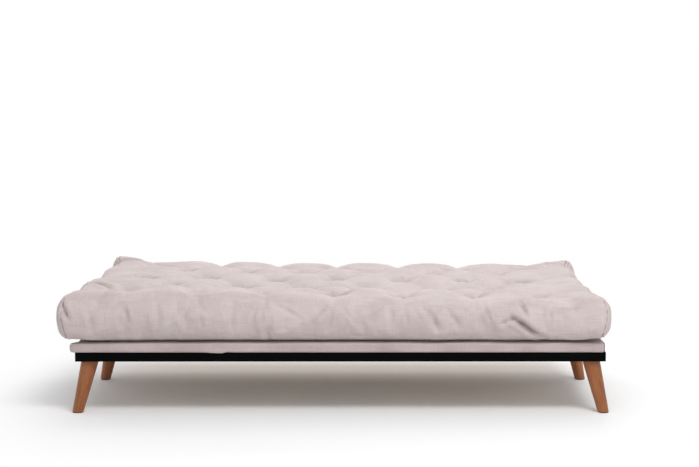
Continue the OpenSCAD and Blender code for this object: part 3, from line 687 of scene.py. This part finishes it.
def mattress_shape(points, low, high):
    """Bends a plain box surface into the stuffed mattress before its cover is simulated.

    In it a runs from -1 to 1 along the mattress, b across it, and up from 0 to 1."""
    middle = (low + high) / 2
    half = (high - low) / 2
    share = smoothstep(points[:, 2], low[2] + 0.05, high[2] - 0.05)[:, None]
    at_end = smoothstep(np.abs(points[:, 0] - middle[0]) / half[0], 0.86, 0.99)[:, None]
    upper = TOP_EDGE + (TOP_CORNER - TOP_EDGE) * at_end
    lower = BOTTOM_EDGE + (BOTTOM_CORNER - BOTTOM_EDGE) * at_end
    p = rounded(points, low, high, lower + (upper - lower) * share)
    a = (p[:, 0] - middle[0]) / half[0]
    b = (p[:, 1] - middle[1]) / half[1]
    up = np.clip((p[:, 2] - low[2]) / (high[2] - low[2]), 0, 1)
    top = smoothstep(up, 0.55, 1.0)
    distance, _, which = tuft_distance(p[:, 0], p[:, 1])
    near_end = smoothstep(np.abs(a), 0.80, 0.99)
    valley = seam_valley(p[:, 0], p[:, 1])
    # Ends and long sides pull in between the corners, most where a row of tufts meets the end
    waist = END_WAIST + RIGHT_END_WAIST * (a > 0)
    p[:, 0] -= a * (waist * (1 - b**2) * (0.35 + 0.65 * up) + END_PUCKER * top * valley * near_end)
    p[:, 1] -= SIDE_WAIST * b * (1 - a**2)
    # Stuffing: dips at the tufts, valleys between them, and hollows where people sit
    dimple = 0.40 * pillow(distance, 0.125, 2.4) + 0.60 * pillow(distance, 0.060, 2.0)
    dip = TUFT_DEPTH * TUFT_PULL[which] * dimple
    variety = 0.7 * noise2(p[:, 0] * 2.6 + 5, p[:, 1] * 3.4, 27) * (b < 0.7)
    groove = SEAM_DEPTH * valley * (1 + variety)
    uneven = UNEVENNESS * noise2(p[:, 0] * 4.1 + 3, p[:, 1] * 5.3 + 1, 17)
    p[:, 2] -= top * (np.cbrt(dip**3 + groove**3) + settling(a, b, p[:, 1]) - uneven)
    # Corners drawn out to points, most of all at the back, where they also stand up like ears
    corner = smoothstep(np.abs(a), 0.88, 1.0) * smoothstep(np.abs(b), 0.80, 1.0)
    p[:, 0] += (CORNER_POINT + 0.004 * (b > 0)) * np.sign(a) * corner * smoothstep(up, 0.1, 0.6)
    ear = smoothstep(np.abs(a), 0.82, 0.95) * smoothstep(b, 0.78, 0.96)
    p[:, 2] += top * ((EAR_RISE - 0.014 * (a > 0)) * ear - 0.010 * corner * (b < 0))
    # The weight of the stuffing bulges the ends low down, and the left end lies at a slant
    p[:, 0] += END_BULGE * np.sign(a) * smoothstep(np.abs(a), 0.9, 1.0) * (1 - smoothstep(up, 0.3, 0.9))
    p[:, 0] += SLANT * smoothstep(-a, 0.0, 1.0) * (b + 1) / 2
    # The long sides lean in towards the bottom, and their lower edge stands off the deck
    low_down = 1 - smoothstep(up, 0.05, 0.60)
    p[:, 1] -= SIDE_LEAN * np.sign(b) * smoothstep(np.abs(b), 0.90, 0.98) * low_down * (1 - near_end)
    lowest = 1 - smoothstep(up, 0.0, 0.25)
    p[:, 2] += EDGE_STAND_OFF * smoothstep(np.abs(b), 0.87, 0.93) * lowest * (1 - near_end)
    # Ends turn up a little where they hang past the deck
    hang = smoothstep(np.abs(a), 0.87, 1.0)
    p[:, 2] += END_RISE * hang * (1 - smoothstep(up, 0.0, 0.6))
    p[:, 2] += (1 - smoothstep(up, 0.0, 0.5)) * underside_arch(p[:, 1])
    return p


def inflate(piece, pinned, give):
    """Swells a closed cover with Cloth, held at the pinned vertices, and keeps give's share of it."""
    before = vertex_values(piece.data, "co")
    group = piece.vertex_groups.new(name="pin")
    group.add([int(i) for i in np.flatnonzero(pinned)], 1.0, "REPLACE")
    modifier = piece.modifiers.new("cover", "CLOTH")
    for key, value in CLOTH.items():
        setattr(modifier.settings, key, value)
    modifier.settings.effector_weights.gravity = 0
    modifier.collision_settings.use_collision = False
    modifier.collision_settings.use_self_collision = False
    scene = bpy.context.scene
    for clip in (scene, modifier.point_cache):
        clip.frame_start, clip.frame_end = 1, SWELL_FRAMES
    for number in range(1, SWELL_FRAMES + 1):
        scene.frame_set(number)
    apply_modifiers(piece)
    scene.frame_set(1)
    after = vertex_values(piece.data, "co")
    move = after - before
    length = np.linalg.norm(move, axis=1, keepdims=True)
    limit = SWELL_CAP * np.tanh(length / SWELL_CAP) * give[:, None]
    set_coordinates(piece.data, before + move / np.maximum(length, 1e-9) * limit)
    for vertex_group in list(piece.vertex_groups):
        piece.vertex_groups.remove(vertex_group)


def build_mattress():
    """One stuffed cover in place of the three CAD blocks of the mattress."""
    low = np.array([SHIFT_X - HALF_X + 0.008, FRONT_Y + 0.010, BOTTOM_Z])
    high = np.array([SHIFT_X + HALF_X - 0.008, REAR_Y - 0.010, TOP_Z - 0.007])
    step = 0.0125
    beside_seams = (0.016, 0.020, 0.024)
    surface = BoxSurface(stretch(low[0], high[0], step, beside_seams),
                         stretch(low[1], high[1], step), stretch(low[2], high[2], step))
    points = mattress_shape(surface.points, low, high)
    piece = make_object("mattress", points, surface.faces, surface.uvs)
    # The end panels' seams follow the x of the unshaped cover, which is kept for finish_mattress
    rest = piece.data.attributes.new("rest_x", "FLOAT", "POINT")
    rest.data.foreach_set("value", (surface.points[:, 0] - SHIFT_X).astype(np.float32))
    top = surface.points[:, 2] > high[2] - 1e-6
    bottom = surface.points[:, 2] < low[2] + 1e-6
    # The bottom is held by the deck, except for a rim that is free to round off
    inside = np.abs(points[:, 0] - SHIFT_X) < HALF_X - 0.06
    inside &= (points[:, 1] > FRONT_Y + 0.05) & (points[:, 1] < REAR_Y - 0.05)
    distance, _, _ = tuft_distance(points[:, 0], points[:, 1])
    pinned = (top & (distance < PINNED_RADIUS)) | (bottom & inside)
    give = 1 - 0.55 * seam_valley(points[:, 0], points[:, 1]) ** 0.8 * top
    inflate(piece, pinned, give)
    subdivide(piece)
    finish_mattress(piece)
    return piece


def tuft_creases():
    """Fans of shallow creases that the front row of tufts pulls into the front face."""
    folds = []
    for x, _ in TUFTS[:ROW_TUFTS]:
        for _ in range(4):
            start = x + rng.normal(0, 0.022)
            top = rng.uniform(0.385, 0.408)
            drop = rng.uniform(0.035, 0.085)
            lean = 1.6 * (start - x) + rng.normal(0, 0.012)
            middle = (start + 0.5 * lean + rng.normal(0, 0.003), top - 0.5 * drop)
            line = [(start, top), middle, (start + lean, top - drop)]
            folds.append((line, rng.uniform(0.002, 0.0048), rng.uniform(0.0045, 0.008)))
    return folds


def finish_mattress(piece):
    """Adds gathers round the tufts, folds, the end panels' seams and a settled underside."""
    p = vertex_values(piece.data, "co")
    n = vertex_values(piece.data, "normal")
    x, y, z = p[:, 0], p[:, 1], p[:, 2]
    up = np.clip(n[:, 2], 0, 1)
    distance, angle, which = tuft_distance(x, y)
    phase = np.pi * noise2(which * 1.37, which * 0.71, 5)
    bend = 1.4 * noise2(angle * 1.5 + which * 3.1, distance * 22, 6)
    rays = np.abs(np.sin(angle * 4.5 + phase + bend)) - 0.64
    gather = GATHER_DEPTH * rays * np.exp(-(((distance - 0.030) / 0.034) ** 2))
    gather *= smoothstep(distance, 0.003, 0.018)
    ripple = RIPPLE_DEPTH * fractal(x * 16, y * 22, 21) * smoothstep(distance, 0.02, 0.08)
    front = np.clip(-n[:, 1], 0, 1)
    side = np.clip(np.abs(n[:, 1]) + np.abs(n[:, 0]), 0, 1) * (1 - up)
    upright = fractal(x * 12 + 3 * z, z * 3 + 7, 33, 4)
    upright += 0.8 * fractal(y * 12, z * 3 + 3, 35, 4) * np.abs(n[:, 0])
    folds = UPRIGHT_FOLD_DEPTH * upright * side
    cuts = np.zeros(len(p))
    for line, depth, width in FRONT_FOLDS + tuft_creases():
        cuts += crease(x, z, line, depth, width)
    # The end panels are sewn in: a groove all round, with a lip that puckers at the stitches
    rest_x = np.empty(len(p), np.float32)
    stored = piece.data.attributes["rest_x"]
    stored.data.foreach_get("value", rest_x)
    piece.data.attributes.remove(stored)
    from_seam = np.abs(rest_x) - (HALF_X - PANEL_INSET)
    round_end = np.where(np.abs(n[:, 2]) > 0.6, y, z)
    pucker = 0.7 + 0.3 * np.sin(2 * np.pi * round_end / STITCH_PITCH)
    depth, width = PANEL_GROOVE
    seams = depth * np.exp(-((from_seam / width) ** 2)) * pucker
    depth, width = PANEL_LIP
    seams -= depth * np.exp(-(((np.abs(from_seam) - PANEL_LIP_OFFSET) / width) ** 2))
    tucks = np.zeros(len(p))
    for line, depth, width in TOP_FOLDS:
        tucks += crease(x, y, line, depth, width)
    offset = (gather + ripple - tucks) * up + folds - cuts * front - seams
    p += n * offset[:, None]
    floor = BOTTOM_Z + underside_arch(p[:, 1]) * (np.abs(p[:, 1] - PIVOT.y) < FOLD_REACH)
    p[:, 2] = np.maximum(p[:, 2], floor)
    set_coordinates(piece.data, p)


def build_tuft_threads(mattress):
    """A crossed pair of cord stitches in the bottom of every tuft."""
    p = vertex_values(mattress.data, "co")
    n = vertex_values(mattress.data, "normal")
    sides, steps, radius, half = 6, 8, 0.0011, 0.0085
    arch, lift, sink = 0.0030, 0.0012, 0.0008
    step, side = 2 * half / steps, 0.0012
    points, faces, uvs = [], [], []
    for x, y in TUFTS:
        near = (np.hypot(p[:, 0] - x, p[:, 1] - y) < 0.009) & (n[:, 2] > 0.2)
        place = np.array([x, y, p[near, 2].min()])
        turn = rng.uniform(0, math.pi)
        for strand in range(2):
            angle = turn + strand * rng.uniform(1.2, 1.9)
            along = np.array([math.cos(angle), math.sin(angle), 0])
            across = np.array([-along[1], along[0], 0])
            first = len(points)
            for i in range(steps + 1):
                t = 2 * i / steps - 1
                rise = arch * (1 - t**2) + lift * strand - sink
                middle = place + along * half * t + np.array([0, 0, rise])
                for k in range(sides):
                    # Two plies, twisted on the way along
                    ply = 4 * math.pi * (k / sides + 0.3 * i)
                    edge = 2 * math.pi * k / sides
                    outward = across * math.cos(edge) + np.array([0, 0, math.sin(edge)])
                    points.append(middle + radius * (1 + 0.25 * math.cos(ply)) * outward)
            for i in range(steps):
                for k in range(sides):
                    a, b = first + i * sides + k, first + i * sides + (k + 1) % sides
                    faces.append([a, b, b + sides, a + sides])
                    u, v = i * step, k * side
                    uvs.append([(u, v), (u, v + side), (u + step, v + side), (u + step, v)])
            last = first + steps * sides
            faces.append([first + k for k in range(sides - 1, -1, -1)])
            faces.append([last + k for k in range(sides)])
            uvs += [[(0, 0)] * sides] * 2
    return make_object("tuft_threads", points, faces, uvs)


# ---- padded deck covers ----


def cuts_at(low, high, insets, hollow):
    """Lattice planes across a cover, with a close pair at each side of the hollow."""
    wall = 0.0015
    sides = [hollow[0], hollow[1], hollow[0] - wall, hollow[1] + wall]
    values = np.concatenate([stretch(low, high, 0.018, insets), sides])
    return np.array(sorted(set(np.round(values, 5))))


def deck_cover(deck, far_board):
    """Fabric cover with a thin filling over a deck: closed above and at its edges, hollow underneath.

    Gives the surface, its shaped points, the mask of the points outside the hollow, and the box."""
    low, high = [np.array(c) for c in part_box(deck + "_pad")]
    near_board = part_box(deck + "_front_board")
    slack = 0.0003
    hollow_low = np.array([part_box(deck + "_end_board_left")[0].x, near_board[0].y]) - slack
    hollow_high = np.array([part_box(deck + "_end_board_right")[1].x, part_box(far_board)[1].y]) + slack
    xs = cuts_at(low[0], high[0], (0.003, 0.006, 0.010, 0.014), (hollow_low[0], hollow_high[0]))
    ys = cuts_at(low[1], high[1], (0.002, 0.005), (hollow_low[1], hollow_high[1]))
    surface = BoxSurface(xs, ys, stretch(low[2], high[2], 0.0045))
    p = surface.points
    within = (p[:, :2] > hollow_low - 1e-6) & (p[:, :2] < hollow_high + 1e-6)
    hollow = within.all(axis=1) & (p[:, 2] < low[2] + 1e-6)
    shaped = rounded(p, low, high, np.array([0.006, 0.008, 0.007]))
    shaped[hollow] = p[hollow]
    shaped[hollow, 2] = near_board[1].z + slack
    return surface, shaped, ~hollow, low, high


def build_seat_cover():
    surface, p, outer, low, high = deck_cover("seat", "seat_rear_board")
    rail_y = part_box("side_rail_right")[0].y
    hinge_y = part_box("hinge_plate_right")[0].y
    x, y, z = p[:, 0].copy(), p[:, 1].copy(), p[:, 2].copy()
    height = (z - low[2]) / (high[2] - low[2])
    # The cover's rim draws in beside the hinges
    rim = 0.9262
    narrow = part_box("hinge_pin_right")[0].x - 0.001
    keep_out = smoothstep(y, hinge_y - 0.045, hinge_y - 0.010)
    target = rim + np.clip((np.abs(x) - rim) / (high[0] - rim), 0, 1) * (narrow - rim)
    drawn_in = np.sign(x) * (np.abs(x) + (target - np.abs(x)) * keep_out)
    x = np.where(outer & (np.abs(x) > rim), drawn_in, x)
    # At the left front the cover's folded corner hangs out past the frame
    ear = (1 - smoothstep(y, rail_y - 0.012, rail_y - 0.003)) * smoothstep(-x, 0.926, 0.943)
    x -= 0.026 * ear * outer * (0.88 + 0.12 * np.sin(np.pi * np.clip(height, 0, 1)))
    # A fold at the bottom of the front edge, left of the middle
    front = (1 - smoothstep(y, low[1] + 0.002, low[1] + 0.010)) * outer
    low_edge = 1 - smoothstep(height, 0.0, 0.55)
    bulge = np.exp(-(((x + 0.448) / 0.030) ** 2)) + 0.6 * np.exp(-(((x + 0.420) / 0.012) ** 2))
    notch = np.exp(-(((x + 0.402) / 0.005) ** 2))
    y = y - 0.0035 * bulge * front * low_edge + 0.003 * notch * front * low_edge
    z = z - 0.0030 * bulge * front * low_edge + 0.003 * notch * front * low_edge
    # Soft waviness of the filling, which thins towards the front edge
    top = smoothstep(height, 0.7, 1.0) * outer
    z += 0.0010 * fractal(x * 9, y * 9, 41) * top - 0.0008 * top
    near_front = 1 - smoothstep(y, low[1] + 0.010, low[1] + 0.060)
    z -= 0.0022 * smoothstep(height, 0.3, 1.0) * outer * near_front
    y -= 0.0010 * fractal(x * 11, z * 40 + 3, 43) * front
    return make_object("seat_cover", np.stack([x, y, z], 1), surface.faces, surface.uvs)


def build_back_cover():
    surface, p, outer, low, high = deck_cover("back", "back_top_board")
    height = (p[:, 2] - low[2]) / (high[2] - low[2])
    top = smoothstep(height, 0.7, 1.0) * outer
    p[:, 2] += (0.0010 * fractal(p[:, 0] * 9, p[:, 1] * 9, 47) - 0.0008) * top
    rear = smoothstep(p[:, 1], high[1] - 0.008, high[1]) * outer
    p[:, 1] += 0.0010 * fractal(p[:, 0] * 11, p[:, 2] * 40, 49) * rear
    return make_object("back_cover", p, surface.faces, surface.uvs)


# ---- scene ----


def add_area(name, place, target, size, power):
    data = bpy.data.lights.new(name, "AREA")
    data.shape = "RECTANGLE"
    data.size, data.size_y = size
    data.energy = power
    lamp = bpy.data.objects.new(name, data)
    lamp.location = place
    lamp.rotation_euler = (Vector(target) - Vector(place)).to_track_quat("-Z", "Y").to_euler()
    bpy.context.scene.collection.objects.link(lamp)


def build_stage():
    """Pale floor that fades into the white backdrop, and that isn't there when seen from below."""
    # The floor shows its shading within near_edge of the origin and is white past far_edge
    near_edge, far_edge, floor_lift, size = 0.95, 1.75, 0.07, 60.0
    n = Nodes("studio_floor")
    n.set(color=(0.92, 0.92, 0.92), roughness=0.9, specular=0.0)
    rays = n.add("ShaderNodeLightPath")
    seen = n.math("MAXIMUM", rays.outputs["Is Camera Ray"], rays.outputs["Is Glossy Ray"])
    lift = n.add("ShaderNodeEmission")
    n.feed(lift.inputs["Strength"], floor_lift)
    lit = n.add("ShaderNodeAddShader")
    n.link(n.shader.outputs[0], lit.inputs[0])
    n.link(lift.outputs[0], lit.inputs[1])
    white = n.add("ShaderNodeEmission")
    length = n.add("ShaderNodeVectorMath", operation="LENGTH")
    n.link(n.place(), length.inputs[0])
    far = n.add("ShaderNodeMapRange", interpolation_type="SMOOTHSTEP")
    n.link(length.outputs["Value"], far.inputs["Value"])
    far.inputs["From Min"].default_value = near_edge
    far.inputs["From Max"].default_value = far_edge
    backdrop = n.mix_shaders(far.outputs[0], lit.outputs[0], white.outputs[0])
    shown = n.mix_shaders(seen, n.shader.outputs[0], backdrop)
    from_below = n.add("ShaderNodeNewGeometry").outputs["Backfacing"]
    clear = n.add("ShaderNodeBsdfTransparent").outputs[0]
    n.link(n.mix_shaders(from_below, shown, clear), n.out.inputs[0])
    corners = [(-size, -size, 0), (size, -size, 0), (size, size, 0), (-size, size, 0)]
    floor = make_object("studio_floor", corners, [(0, 1, 2, 3)], smooth=False)
    floor.data.materials.append(n.material)


def build_world():
    """Soft light all round, with plain white behind the object for the camera."""
    world = bpy.data.worlds.new("studio")
    bpy.context.scene.world = world
    world.use_nodes = True
    tree = world.node_tree
    tree.nodes.clear()
    out = tree.nodes.new("ShaderNodeOutputWorld")
    rays = tree.nodes.new("ShaderNodeLightPath")
    seen = tree.nodes.new("ShaderNodeMath")
    seen.operation = "MAXIMUM"
    mix = tree.nodes.new("ShaderNodeMixShader")
    tree.links.new(rays.outputs["Is Camera Ray"], seen.inputs[0])
    tree.links.new(rays.outputs["Is Glossy Ray"], seen.inputs[1])
    tree.links.new(seen.outputs[0], mix.inputs[0])
    for number, (color, strength) in enumerate([((0.97, 0.98, 1.0), 0.52), ((1, 1, 1), 1.0)], 1):
        light = tree.nodes.new("ShaderNodeBackground")
        light.inputs["Color"].default_value = (*color, 1)
        light.inputs["Strength"].default_value = strength
        tree.links.new(light.outputs[0], mix.inputs[number])
    tree.links.new(mix.outputs[0], out.inputs[0])


def build_camera():
    """Camera at the photograph's viewing angle."""
    data = bpy.data.cameras.new("camera")
    image_width = 699
    focal_pixels = 1680.0
    data.sensor_fit = "HORIZONTAL"
    data.sensor_width = 36.0
    data.lens = focal_pixels / image_width * data.sensor_width
    camera = bpy.data.objects.new("camera", data)
    camera.location = (0.081, -6.475, 1.216)
    pitch, yaw, roll = 0.0955, 0.0077, 0.0017
    camera.rotation_euler = Euler((math.pi / 2 - pitch, roll, yaw), "XYZ")
    bpy.context.scene.collection.objects.link(camera)
    bpy.context.scene.camera = camera


def main():
    dress_frame()

    mattress = build_mattress()
    mattress.data.materials.append(FABRIC)
    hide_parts("mattress_seat", "mattress_fold", "mattress_back")
    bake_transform(mattress)

    threads = build_tuft_threads(mattress)
    threads.data.materials.append(THREAD)
    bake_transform(threads)

    seat_cover = build_seat_cover()
    seat_cover.data.materials.append(PAD_FABRIC)
    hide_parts("seat_pad")
    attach(seat_cover, "base")

    back_cover = build_back_cover()
    back_cover.data.materials.append(PAD_FABRIC)
    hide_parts("back_pad")
    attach(back_cover, "back")

    build_stage()
    build_world()
    add_area("back_key", (0.3, 4.8, 3.0), (0, 0.2, 0.3), (3.4, 1.6), 122)
    add_area("overhead", (0.0, 1.6, 3.0), (0, 0.1, 0.3), (3.4, 1.6), 15)
    add_area("front_high", (1.5, -3.2, 4.6), (0, -0.3, 0.3), (2.6, 1.8), 132)
    add_area("front_left", (-2.0, -5.2, 2.9), (0, -0.3, 0.3), (3.4, 2.2), 9)
    add_area("front_right", (2.8, -4.6, 2.4), (0, -0.3, 0.3), (2.5, 2.0), 17)
    build_camera()
    bpy.context.scene.view_settings.view_transform = "Standard"


main()
